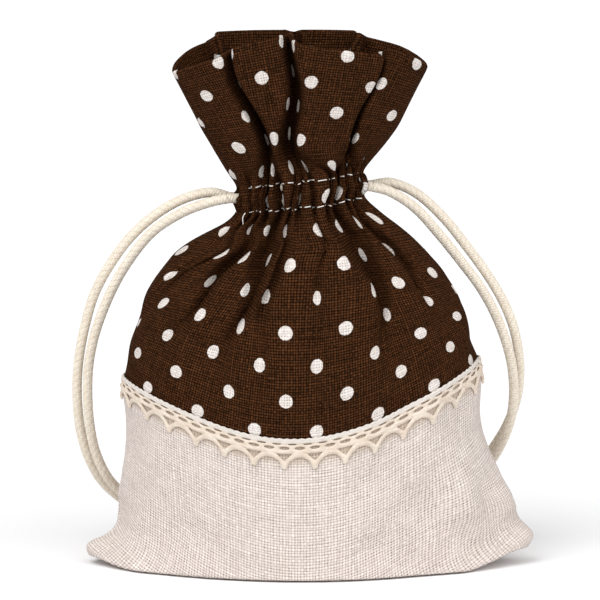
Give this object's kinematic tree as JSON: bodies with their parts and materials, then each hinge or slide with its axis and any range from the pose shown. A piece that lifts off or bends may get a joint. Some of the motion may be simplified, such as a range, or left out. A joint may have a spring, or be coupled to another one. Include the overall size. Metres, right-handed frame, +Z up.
{
  "type": "fabric gift sack",
  "caption": "Drawstring gift sack of dotted and plain linen with a lace band, a gathered neck, a flared mouth and a pair of cotton drawcords",
  "frame": {"origin": "middle of the sack's footprint, on the floor it stands on", "axes": "+X to the sack's right, +Y to its back, +Z up along its height"},
  "size_m": [0.1476, 0.0922, 0.17],
  "materials": {
    "natural_linen": "open plain weave, undyed off-white linen",
    "dotted_linen": "plain weave linen printed dark brown with round off-white dots",
    "lace_cotton": "cream cotton torchon lace with a pointed edge",
    "sewing_thread": "off-white polyester sewing thread",
    "cotton_cord": "natural braided cotton cord"
  },
  "bodies": {
    "sack": {"front_lower_panel": "natural_linen", "back_lower_panel": "natural_linen", "bottom_seam": "natural_linen", "front_upper_panel": "dotted_linen", "back_upper_panel": "dotted_linen", "front_hem_facing": "dotted_linen", "back_hem_facing": "dotted_linen", "front_join_seam": "dotted_linen", "back_join_seam": "dotted_linen", "left_side_seam": "dotted_linen", "right_side_seam": "dotted_linen", "front_lace": "lace_cotton", "back_lace": "lace_cotton", "front_lace_stitching": "sewing_thread", "back_lace_stitching": "sewing_thread", "front_channel_stitching": "sewing_thread", "back_channel_stitching": "sewing_thread", "left_cord_in_channel": "cotton_cord", "right_cord_in_channel": "cotton_cord"},
    "left_cord_inner": {"left_cord_ends": "cotton_cord"},
    "left_cord_loop": {"left_front_strand": "cotton_cord", "left_back_strand": "cotton_cord", "left_knot": "cotton_cord"},
    "right_cord_inner": {"right_cord_ends": "cotton_cord"},
    "right_cord_loop": {"right_front_strand": "cotton_cord", "right_back_strand": "cotton_cord", "right_knot": "cotton_cord"}
  },
  "joints": [
    {"name": "left_cord_pull", "type": "slide", "parent": "sack", "child": "left_cord_inner", "axis": [-1, 0, 0], "range_m": [0, 0.006]},
    {"name": "left_cord_lift", "type": "hinge", "parent": "left_cord_inner", "child": "left_cord_loop", "pos_m": [-0.0226, 0, 0.1181], "axis": [0, 1, 0], "range_deg": [0, 60]},
    {"name": "right_cord_pull", "type": "slide", "parent": "sack", "child": "right_cord_inner", "axis": [1, 0, 0], "range_m": [0, 0.006]},
    {"name": "right_cord_lift", "type": "hinge", "parent": "right_cord_inner", "child": "right_cord_loop", "pos_m": [0.0226, 0, 0.1219], "axis": [0, -1, 0], "range_deg": [0, 60]}
  ]
}
